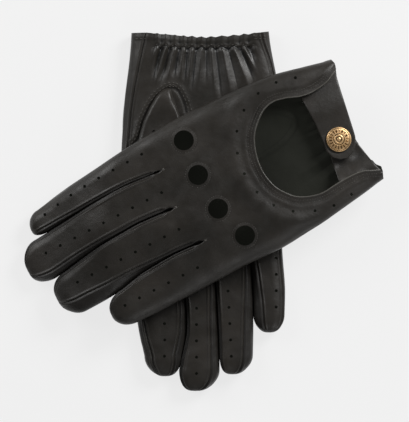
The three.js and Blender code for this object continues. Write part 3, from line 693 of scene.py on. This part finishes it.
# ---- Making meshes -------------------------------------------------------------------------------------
def new_object(name, vertices, faces, materials, indices=None):
    mesh = bpy.data.meshes.new(name)
    mesh.from_pydata([tuple(v) for v in vertices], [], [tuple(f) for f in faces])
    for material in materials:
        mesh.materials.append(material)
    if indices is not None:
        mesh.polygons.foreach_set("material_index", np.asarray(indices, np.int32))
    mesh.polygons.foreach_set("use_smooth", [True] * len(mesh.polygons))
    mesh.update()
    obj = bpy.data.objects.new(name, mesh)
    bpy.context.scene.collection.objects.link(obj)
    return obj


def clean_quads(faces):
    """Faces as lists without repeated corners, leaving out what has fewer than three."""
    shortened = ([v for k, v in enumerate(face) if v != face[k - 1]] for face in faces.tolist())
    return [face for face in shortened if len(set(face)) >= 3]


def rims_of(faces, n):
    """Quads from the open edges of these faces to the same edges n vertices on."""
    edges = {(f[k - 1], v) for f in faces for k, v in enumerate(f)}
    return [[b, a, a + n, b + n] for a, b in sorted(edges) if (b, a) not in edges]


def shell(outer, inner, top):
    """Vertices, faces and material slots of a closed piece: its outer faces, the same on its inside, its edges."""
    n = len(outer)
    base = [[v + n for v in reversed(f)] for f in top]
    rims = rims_of(top, n)
    return np.vstack([outer, inner]), top + base + rims, [0] * len(top) + [1] * len(base) + [2] * len(rims)


def solid_piece(title, outer, inner, faces, chosen, materials):
    """One piece of leather: its share of the outer skin, the same of the inner skin, and its edges."""
    picked = clean_quads(faces[chosen])
    used = sorted({v for f in picked for v in f})
    slot = {v: i for i, v in enumerate(used)}
    top = [[slot[v] for v in f] for f in picked]
    vertices, solid, slots = shell(outer[used], inner[used], top)
    obj = new_object(title, vertices, solid, materials, slots)
    return obj, {tuple(np.round(outer[v] * 1e6).astype(int)): v for v in used}


def outward(vertices, faces):
    """A closed piece's faces, all turned to face out."""
    volume = sum(np.dot(vertices[f[0]], np.cross(vertices[b], vertices[c]))
                 for f in faces for b, c in zip(f[1:], f[2:]))
    return faces if volume > 0 else [f[::-1] for f in faces]


def closed_grid(title, outer, inner, materials):
    """A closed solid between two grids of the same shape, in metres."""
    ids = np.arange(outer[..., 0].size).reshape(outer.shape[:2])
    vertices, faces, slots = shell(outer.reshape(-1, 3), inner.reshape(-1, 3), grid_quads(ids).tolist())
    obj = new_object(title, vertices, outward(vertices, faces), materials, slots)
    obj.data.set_sharp_from_angle(angle=SHARP)
    return obj


def cut(obj, cutter):
    """Takes the cutter's prisms out of a piece, and then removes the cutter."""
    modifier = obj.modifiers.new("holes", "BOOLEAN")
    modifier.operation = "DIFFERENCE"
    modifier.object = cutter
    modifier.solver = "MANIFOLD"
    graph = bpy.context.evaluated_depsgraph_get()
    whole, mesh = obj.data, bpy.data.meshes.new_from_object(obj.evaluated_get(graph))
    obj.modifiers.clear()
    obj.data = mesh
    bpy.data.meshes.remove(whole)
    bpy.data.objects.remove(cutter)
    obj.data.set_sharp_from_angle(angle=SHARP)


def circle(x, y, radius, sides=14):
    a = np.arange(sides) * 2 * math.pi / sides
    return np.stack([x + radius * np.cos(a), y + radius * np.sin(a)], -1)


def cutter_for(name, outlines, low, high):
    """One mesh of prisms at outlines of the glove's plane, between two heights in that plane."""
    glove = GLOVES[name]
    vertices, faces = [], []
    for outline in outlines:
        x, y = outline[:, 0], outline[:, 1]
        if np.sum(x * np.roll(y, -1) - np.roll(x, -1) * y) < 0:
            outline = outline[::-1]
        n = len(outline)
        ends = [place(glove, np.column_stack([outline, np.full(n, z)])) for z in (low, high)]
        sides = [[i, (i + 1) % n, n + (i + 1) % n, n + i] for i in range(n)]
        closed = [list(range(n))[::-1], list(range(n, 2 * n))] + sides
        faces += [[i + len(vertices) for i in f] for f in closed]
        vertices += [tuple(v) for v in np.vstack(ends)]
    return new_object("cutter", vertices, faces, LEATHER_SET, [2] * len(faces))


def walk(points, pitch, start=0.0):
    """Points every pitch along a polyline."""
    points = np.asarray(points, float)
    steps = np.concatenate([[0], np.cumsum(np.hypot(*np.diff(points, axis=0).T))])
    at = np.arange(start, steps[-1] + 1e-6, pitch)
    return np.stack([np.interp(at, steps, points[:, 0]), np.interp(at, steps, points[:, 1])], -1)


def mesh_values(items, attribute, kind=int, width=1):
    """One attribute of all of a mesh's vertices, corners or faces."""
    out = np.zeros(len(items) * width, kind)
    items.foreach_get(attribute, out)
    return out.reshape(-1, 3) if width == 3 else out


def keep_normals(obj, known, normals):
    """Smooth shading that carries on across the line where two pieces meet."""
    mesh = obj.data
    mesh.set_sharp_from_angle(angle=math.radians(42))
    own = mesh_values(mesh.corner_normals, "vector", float, 3)
    vertex = mesh_values(mesh.loops, "vertex_index")
    keys = np.round(mesh_values(mesh.vertices, "co", float, 3) * 1e6).astype(int)
    match = np.array([known.get(tuple(k), -1) for k in keys])
    index = mesh_values(mesh.polygons, "material_index")
    totals = mesh_values(mesh.polygons, "loop_total")
    chosen = (match[vertex] >= 0) & (np.repeat(index, totals) == 0)
    own[chosen] = normals[match[vertex][chosen]]
    mesh.normals_split_custom_set([tuple(v) for v in own])


def build_leather(name):
    """All the pieces of one glove's skin, and the skin itself to lay stitches on."""
    glove = GLOVES[name]
    outer, inner, normals, faces, pieces = leather_points(name)
    back_cut = [curve_points(KEYHOLE, 1.2)] + [circle(x, y, KNUCKLE_RADIUS, 48) for x, y in KNUCKLES]
    back_cut += [circle(x, y, PERFORATION) for x, y in KEYHOLE_DOTS]
    made = {}
    for piece in sorted(set(pieces)):
        chosen = np.nonzero(pieces == piece)[0]
        materials = GUSSET_SET if "gusset" in piece else LEATHER_SET
        obj, known = solid_piece(f"{name}_{piece}", outer, inner, faces, chosen, materials)
        word = piece.split("_")[0]
        facing_up = glove["up"] if piece.endswith("back") else -glove["up"]
        span = (HALF_HAND, 3 * HALF_HAND) if facing_up > 0 else (-HALF_HAND, HALF_HAND)
        if piece == "back":
            cut(obj, cutter_for(name, back_cut, *span))
        elif word in FINGERS and "gusset" not in piece:
            start = 0 if facing_up > 0 else PERFORATION_PITCH / 2
            row = walk(curve_points(glove["punched"][FINGERS.index(word)]), PERFORATION_PITCH, start)
            dots = [circle(x, y, PERFORATION) for x, y in row if y > SPLIT_Y + 1]
            cut(obj, cutter_for(name, dots, *span))
        keep_normals(obj, known, normals)
        made[piece] = obj
    return made, BVHTree.FromPolygons([tuple(v) for v in outer], clean_quads(faces))


# ---- Thumb, strap, tab and elastic ---------------------------------------------------------------------
def bull_nose(distance, radius):
    """How far a rounded edge drops, this far in from it."""
    return radius * (1 - np.sqrt(1 - (1 - np.clip(distance / radius, 0, 1)) ** 2))


def thumb_sheet(name, outward):
    """The thumb's outer leather as a mound on the palm, or the flat leather under it, in the glove's plane."""
    glove = GLOVES[name]
    away = -glove["up"]
    base, tip = THUMB_LEFT[0][1], THUMB_LEFT[-1][1]
    y = base + (tip - base) * eased(61).T
    left, right = rows_at(THUMB_LEFT, y), rows_at(THUMB_RIGHT, y)
    x = left + (right - left) * eased(41)
    ends = np.minimum(height_at(y - base, 7), height_at(tip - y, 5))
    rise = height_at(left - x, 2.6) * height_at(x - right, 2.4) * ends
    points = np.stack([x, np.broadcast_to(y, x.shape), np.zeros_like(x)], -1)
    folds = 0.5 * waves(points.reshape(-1, 3), 22, 31).reshape(x.shape) * rise
    crease = groove(np.hypot((x - 17) / 1.6, (y - 39) / 7), 1.2, 1)
    height = THUMB_HEIGHT * rise + folds + crease if outward else 0.5 + 0 * rise
    points[..., 2] = HALF_HAND + away * (HALF_HAND + THUMB_CLEARANCE + np.maximum(height, 0))
    return points


def build_thumb(name):
    glove = GLOVES[name]
    away = -glove["up"]
    made = []
    for word, outward in (("thumb_front", True), ("thumb_back", False)):
        outer = thumb_sheet(name, outward)
        inner = outer.copy()
        if outward:
            inner[..., 2] = HALF_HAND + (outer[..., 2] - HALF_HAND) - away * LEATHER * 0.9
            floor = HALF_HAND + away * (HALF_HAND + 0.1)
            inner[..., 2] = np.maximum(inner[..., 2], floor) if away > 0 else np.minimum(inner[..., 2], floor)
        else:
            centre = outer.mean(axis=(0, 1))
            outer[..., :2] = centre[:2] + (outer[..., :2] - centre[:2]) * 0.86
            inner = outer.copy()
            inner[..., 2] -= away * 0.35
        obj = closed_grid(f"{name}_{word}", place(glove, outer), place(glove, inner), LEATHER_SET)
        if outward:
            heights = sorted(HALF_HAND + away * np.array([HALF_HAND + 2.5, HALF_HAND + 12]))
            cut(obj, cutter_for(name, [circle(x, y, PERFORATION) for x, y in THUMB_DOTS], *heights))
        start, end = place(glove, [(20, 44, HALF_HAND), (24, 80, HALF_HAND)])
        start[2] = end[2] = place(glove, [(20, 60, HALF_HAND)])[0][2]
        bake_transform(obj)
        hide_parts(f"{name}_{word}")
        made.append(obj)
    return made


def slab(title, name, xs, low, high, top, thick, materials, columns=26):
    """A flat strap with rounded edges. low and high give its edges at x, and top(x, y) its upper side's height."""
    glove = GLOVES[name]
    u = eased(columns + 1)
    x = np.asarray(xs, float)[:, None]
    y = rows_at(low, x) + (rows_at(high, x) - rows_at(low, x)) * u
    x = np.broadcast_to(x, y.shape)
    width = (y[:, -1] - y[:, 0])[:, None]
    drop = bull_nose(np.minimum(u, 1 - u) * width, thick / 2) * 0.9
    height = top(x, y)
    grids = [np.stack([x, y, toward_back(glove, z)], -1) for z in (height - drop, height - thick + drop)]
    return closed_grid(title, place(glove, grids[0]), place(glove, grids[1]), materials)


def strap_top(x, y):
    bow = STRAP_ARCH * np.sin(math.pi * np.clip((x - 3) / 24, 0, 1)) ** 2
    under_flap = 1.7 * smooth((x - 20) / 10)
    crown = 0.35 * (1 - ((y - 12.5) / 13) ** 2) * smooth((x - 2) / 6)
    rim = groove(np.hypot(x - SNAP_AT[0], y - SNAP_AT[1]) - CAP_RADIUS - 0.6, 0.18, 0.7)
    return STRAP_TOP + bow + crown - under_flap + rim


def tab_top(x, y):
    return TAB_TOP + (FLAP_INSIDE - TAB_TOP) * smooth((-19 - x) / 12) + 0.25 * np.sin(y * 0.5)


def build_strap(name):
    hand, moving = f"{name}_hand", f"{name}_strap"
    glove = GLOVES[name]
    end = -18.4 + 11.4 * (1 - np.cos(np.linspace(0, math.pi / 2, 16)))
    xs = np.concatenate([end, np.arange(-6.2, 37.5, 1.3)])
    low = [(max(y, glove["strap_least"]), x) for y, x in STRAP_LOW]
    strap = slab(f"{name}_strap_leather", name, xs, low, STRAP_HIGH, strap_top, STRAP_THICK, LEATHER_SET)
    hole = circle(*SNAP_AT, 2.2, 24)
    cut(strap, cutter_for(name, [hole], *sorted(toward_back(glove, [1.5, 9]))))
    ends = place(glove, [(32.5, 11, HALF_HAND), (27, 11, HALF_HAND)])
    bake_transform(strap)
    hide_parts(f"{name}_strap")

    xs = np.append(np.arange(-37, -1.5, 1.3), -1)
    tab = slab(f"{name}_tab_leather", name, xs, TAB_LOW, TAB_HIGH, tab_top, STRAP_THICK * 0.9, LEATHER_SET)
    cut(tab, cutter_for(name, [circle(*SNAP_AT, 1.4, 24)], *sorted(toward_back(glove, [-4, 2]))))
    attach(tab, hand)
    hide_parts(f"{name}_strap_tab")

    elastic = slab(f"{name}_wrist_tape", name, np.arange(-27, 25.5, 0.8), [(6, -27), (6, 25)], [(11, -27), (11, 25)],
                   lambda x, y: ELASTIC_TOP + 0.6 + 0.4 * gathers(x, 0)[2], 0.8,
                   (ELASTIC_MAT,) * 3, 10)
    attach(elastic, hand)
    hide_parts(f"{name}_wrist_elastic")


# ---- The snap cap --------------------------------------------------------------------------------------
def cap_profile():
    """Rows of (radius, height) from the middle of the top, round the rim, to the middle of the shaft's end."""
    face = [(r, CAP_TOP - 0.012 * r**2) for r in np.linspace(0.25, CAP_FACE - 0.05, 40)]
    rim = [(7.1, CAP_TOP - 0.52), (7.3, CAP_TOP - 0.5), (7.55, CAP_TOP - 0.62), (7.78, CAP_TOP - 0.85),
           (CAP_RADIUS, CAP_TOP - 1.2), (7.8, CAP_BASE + 0.15), (7.5, CAP_BASE), (4.5, CAP_BASE)]
    shaft = [(1.9, CAP_BASE), (1.9, 3.2), (0.2, 3.2)]
    return face + rim + shaft


def cap_relief(radius, angle):
    """Generic engraving: three ring grooves and a band of radial ticks of uneven length."""
    depth = groove(radius - 6.9, 0.18, 0.18) + groove(radius - 3.3, 0.26, 0.22) + groove(radius - 1.5, 0.26, 0.34)
    count = 18
    rng = np.random.default_rng(5)
    inner, outer = rng.uniform(4.1, 4.5, count), rng.uniform(5.9, 6.3, count)
    wide = rng.uniform(0.12, 0.26, count)
    turn = angle / (2 * math.pi) * count
    which = np.floor(turn).astype(int) % count
    inside = (radius > inner[which]) & (radius < outer[which]) & (np.abs(turn % 1 - 0.5) < wide[which])
    return depth - 0.24 * inside


def build_cap(name):
    glove = GLOVES[name]
    profile = np.array(cap_profile())
    sides = 230
    angle = (np.arange(sides) + 0.5) * 2 * math.pi / sides
    radius, height = profile[:, :1], profile[:, 1:]
    on_face = (radius < CAP_FACE) & (height > CAP_BASE)
    relief = np.where(on_face, cap_relief(*np.broadcast_arrays(radius, angle[None, :])), 0)
    x = SNAP_AT[0] + radius * np.cos(angle)
    y = SNAP_AT[1] + radius * np.sin(angle)
    z = toward_back(glove, height + relief)
    points = place(glove, np.stack([x, y, z], -1))
    rows = len(profile)
    centres = [points[0].mean(axis=0), points[-1].mean(axis=0)]
    vertices = np.vstack([points.reshape(-1, 3), centres])
    ids = np.arange(rows * sides).reshape(rows, sides)
    around = np.column_stack([ids, ids[:, 0]])
    faces = grid_quads(around).tolist()
    faces += [[int(a), int(b), rows * sides] for a, b in zip(around[0], around[0, 1:])]
    faces += [[int(b), int(a), rows * sides + 1] for a, b in zip(around[-1], around[-1, 1:])]
    deep = (relief[:-1] < -0.1) & (np.roll(relief, -1, axis=1)[:-1] < -0.1)
    indices = [int(d) for d in deep.reshape(-1)] + [0] * (2 * sides)
    cap = new_object(f"{name}_cap_brass", vertices, outward(vertices, faces), (BRASS_MAT, BRASS_DARK_MAT), indices)
    cap.data.set_sharp_from_angle(angle=math.radians(35))
    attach(cap, f"{name}_strap")
    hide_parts(f"{name}_snap_cap")


# ---- Thread and binding ------------------------------------------------------------------------------
def sweep(points, ups, wide, high, sides=8):
    """A closed rod along points: its half width and half height at each point."""
    ahead = np.gradient(points, axis=0)
    across = np.cross(ahead, ups)
    across /= np.linalg.norm(across, axis=1)[:, None]
    up = np.cross(across, ahead)
    up /= np.linalg.norm(up, axis=1)[:, None]
    a = np.arange(sides) * 2 * math.pi / sides
    ring = (points[:, None] + across[:, None] * (np.cos(a)[None, :] * wide[:, None])[..., None]
            + up[:, None] * (np.sin(a)[None, :] * high[:, None])[..., None])
    n = len(points)
    ids = np.arange(n * sides).reshape(n, sides)
    faces = grid_quads(np.column_stack([ids, ids[:, 0]])).tolist()
    return ring.reshape(-1, 3), faces + [ids[0].tolist(), ids[-1][::-1].tolist()]


def on_skin(name, skin, xy, facing):
    """Where points of the glove's plane meet its back or palm from outside, if they do, and the way out there."""
    glove = GLOVES[name]
    up = glove["up"] if facing == "back" else -glove["up"]
    world = place(glove, np.column_stack([xy, np.full(len(xy), HALF_HAND)]))
    hits, ways = [], []
    for p in world:
        hit, normal, _, _ = skin.ray_cast(Vector((p[0], p[1], 0.2 * up)), Vector((0, 0, -up)))
        hits.append(tuple(hit) if hit else (math.nan,) * 3)
        ways.append((0, 0, up) if not hit or normal.z * up < 0 else tuple(normal))
    return np.array(hits), np.array(ways)


def stitch_rows(title, name, skin, rows, facing, material=None, scale=1.0):
    """Rows of separate stitches lying on the leather, as one piece. Each row is a line in the glove's plane."""
    vertices, faces = [], []
    length, radius = STITCH["length"] * scale, STITCH["radius"] * scale * MM
    for row in rows:
        fine = walk(row, length / 4)
        hits, ways = on_skin(name, skin, fine, facing)
        every = 4 + max(1, round(STITCH["gap"] / STITCH["length"] * 4))
        for i in range(0, len(fine) - 4, every):
            if np.isnan(hits[i:i + 5]).any():
                continue
            lift = np.sin(np.linspace(0, math.pi, 5))
            points = hits[i:i + 5] + ways[i:i + 5] * ((0.6 * lift - 0.5) * radius)[:, None]
            size = radius * (0.55 + 0.45 * lift)
            rod, rod_faces = sweep(points, ways[i:i + 5], size * 1.15, size, 6)
            rod[:, 2] = np.maximum(rod[:, 2], 0)
            faces += [[v + len(vertices) for v in f] for f in rod_faces]
            vertices += [tuple(v) for v in rod]
    obj = new_object(title, vertices, faces, (material or THREAD_MAT,))
    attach(obj, f"{name}_hand")
    return obj


def beside(line, offset):
    """A line this far to the left of another, or to its right if negative."""
    line = np.asarray(line, float)
    ahead = np.gradient(line, axis=0)
    ahead /= np.maximum(np.hypot(ahead[:, 0], ahead[:, 1]), 1e-9)[:, None]
    return line + offset * np.stack([-ahead[:, 1], ahead[:, 0]], -1)


def build_binding(name, skin):
    """The thin bound edge round the keyhole."""
    line = walk(curve_points(KEYHOLE), 1.0)
    line = line[line[:, 1] > rows_at(GLOVES[name]["wrist_line"], line[:, 0], 0) + 0.8]
    hits, ways = on_skin(name, skin, beside(line, KEYHOLE_SIDE * 0.25), "back")
    met = ~np.isnan(hits[:, 0])
    hits, ways = hits[met], ways[met]
    centre = hits - ways * (LEATHER * 0.42 * MM)
    full = np.full(len(centre), 0.5 * MM)
    vertices, faces = sweep(centre, ways, full, full * 1.05, 10)
    vertices[:, 2] = np.maximum(vertices[:, 2], 0)
    obj = new_object(f"{name}_binding_edge", vertices, faces, (BINDING_MAT,))
    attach(obj, f"{name}_hand")
    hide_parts(f"{name}_keyhole_binding")


def bar_tacks(name):
    """A few close stitches across the end of each slit, in the glove's plane."""
    glove = GLOVES[name]
    rows = []
    for slit, crotch in enumerate(glove["crotches"]):
        x = float(table(glove["edges"][slit + 1], crotch))
        rows += [[(x - 0.75, y), (x + 0.8, y)] for y in (crotch - 1.1, crotch - 0.65, crotch - 0.2)]
    return rows


def build_stitches(name, skin):
    keyhole = curve_points(KEYHOLE)
    rows = []
    for offset in KEYHOLE_STITCH_ROWS:
        row = beside(keyhole, KEYHOLE_SIDE * offset)
        rows.append(row[row[:, 1] > 3])
    rows += [np.vstack([c, c[:1]]) for c in (circle(x, y, KNUCKLE_RADIUS + 1.7, 40) for x, y in KNUCKLES)]
    stitch_rows(f"{name}_back_stitches", name, skin, rows, "back", scale=0.7)
    stitch_rows(f"{name}_bar_tacks", name, skin, bar_tacks(name), "back", PALE_THREAD_MAT)
    arc = curve_points(THUMB_ARC)
    rows = [beside(arc, THUMB_ARC_SIDE * offset) for offset in (1.5, 3.3)]
    zigzag = np.arange(-34, 31, 0.4)
    rows.append(np.stack([zigzag, elastic_line(zigzag)], -1))
    rows += [[(x, y), (x + 8.5 * side, y)] for x, side in ((34, 1), (-34, -1)) for y in (2.4, 4)]
    stitch_rows(f"{name}_palm_stitches", name, skin, rows, "palm", scale=1.2)
    tacks = [[(x, 1.2), (x, 4.4)] for x in (33.4, 34, -33.4, -34)] + [[(16.5, y), (20.7, y)] for y in (33, 34.3)]
    stitch_rows(f"{name}_hem_tacks", name, skin, tacks, "palm", PALE_THREAD_MAT)


# ---- The stage ------------------------------------------------------------------------------------------
def build_stage():
    floor = new_object("floor", [(-3, -3, 0), (3, -3, 0), (3, 3, 0), (-3, 3, 0)], [(0, 1, 2, 3)], [])
    mat, _, shader = new_material("floor", (0.12, 0.12, 0.12), 0.9, specular=0.0)
    shader.inputs["Emission Color"].default_value = (1, 1, 1, 1)
    shader.inputs["Emission Strength"].default_value = FLOOR_GLOW
    floor.data.materials.append(mat)
    world = bpy.data.worlds.new("studio")
    world.use_nodes = True
    background = world.node_tree.nodes["Background"]
    background.inputs["Color"].default_value = (1, 1, 1, 1)
    background.inputs["Strength"].default_value = WORLD_LIGHT
    bpy.context.scene.world = world
    bpy.context.scene.view_settings.view_transform = "Standard"


def add_light(name, at, size, energy):
    data = bpy.data.lights.new(name, "AREA")
    data.shape = "RECTANGLE"
    data.size, data.size_y = size
    data.energy = energy
    obj = bpy.data.objects.new(name, data)
    obj.location = at
    obj.rotation_euler = (-Vector(at)).to_track_quat("-Z", "Y").to_euler()
    bpy.context.scene.collection.objects.link(obj)


def build_camera():
    view_height, distance, sensor = 0.2659, 5.0, 36.0
    data = bpy.data.cameras.new("camera")
    data.sensor_width = sensor
    data.lens = sensor * distance / view_height
    camera = bpy.data.objects.new("camera", data)
    camera.location = (0, 0, distance + 0.02)
    bpy.context.scene.collection.objects.link(camera)
    bpy.context.scene.camera = camera


# ---- Everything -----------------------------------------------------------------------------------------
def fasten(name, made):
    """Puts the hand's pieces of leather on the hand's body, leaves the fingers' pieces where they lie, and hides the
    CAD parts that they stand for.
    """
    glove = GLOVES[name]
    hand = f"{name}_hand"
    for piece, obj in made.items():
        word = piece.split("_")[0]
        if word not in FINGERS:
            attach(obj, hand)
            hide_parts(f"{name}_{piece}_panel")
            continue
        finger = FINGERS.index(word)
        x, y = glove["curl_at"][finger]
        ends = place(glove, [(x, y - 10, HALF_FINGER), (x, y + 10, HALF_FINGER)])
        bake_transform(obj)
        if "gusset" in piece:
            side = piece.split("_")[2]
            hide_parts(f"{name}_{word}_tip_gusset_{side}")
            if side == "littleward":
                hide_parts(f"{name}_fourchette_{word}_{FINGERS[finger + 1]}")
        else:
            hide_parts(f"{name}_{word}_tip_{piece.split('_')[1]}")


def finish_metal(name):
    """Gives the snap's hidden CAD pieces their plated finish."""
    for word in ("snap_socket", "snap_stud", "snap_post"):
        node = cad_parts[f"{name}_{word}"]
        node.data.materials.clear()
        node.data.materials.append(NICKEL_MAT)


build_camera()
build_stage()
for light in LIGHTS:
    add_light(*light)
for glove_name in ("right", "left"):
    leather, glove_surface = build_leather(glove_name)
    fasten(glove_name, leather)
    build_thumb(glove_name)
    build_strap(glove_name)
    build_cap(glove_name)
    build_binding(glove_name, glove_surface)
    build_stitches(glove_name, glove_surface)
    finish_metal(glove_name)
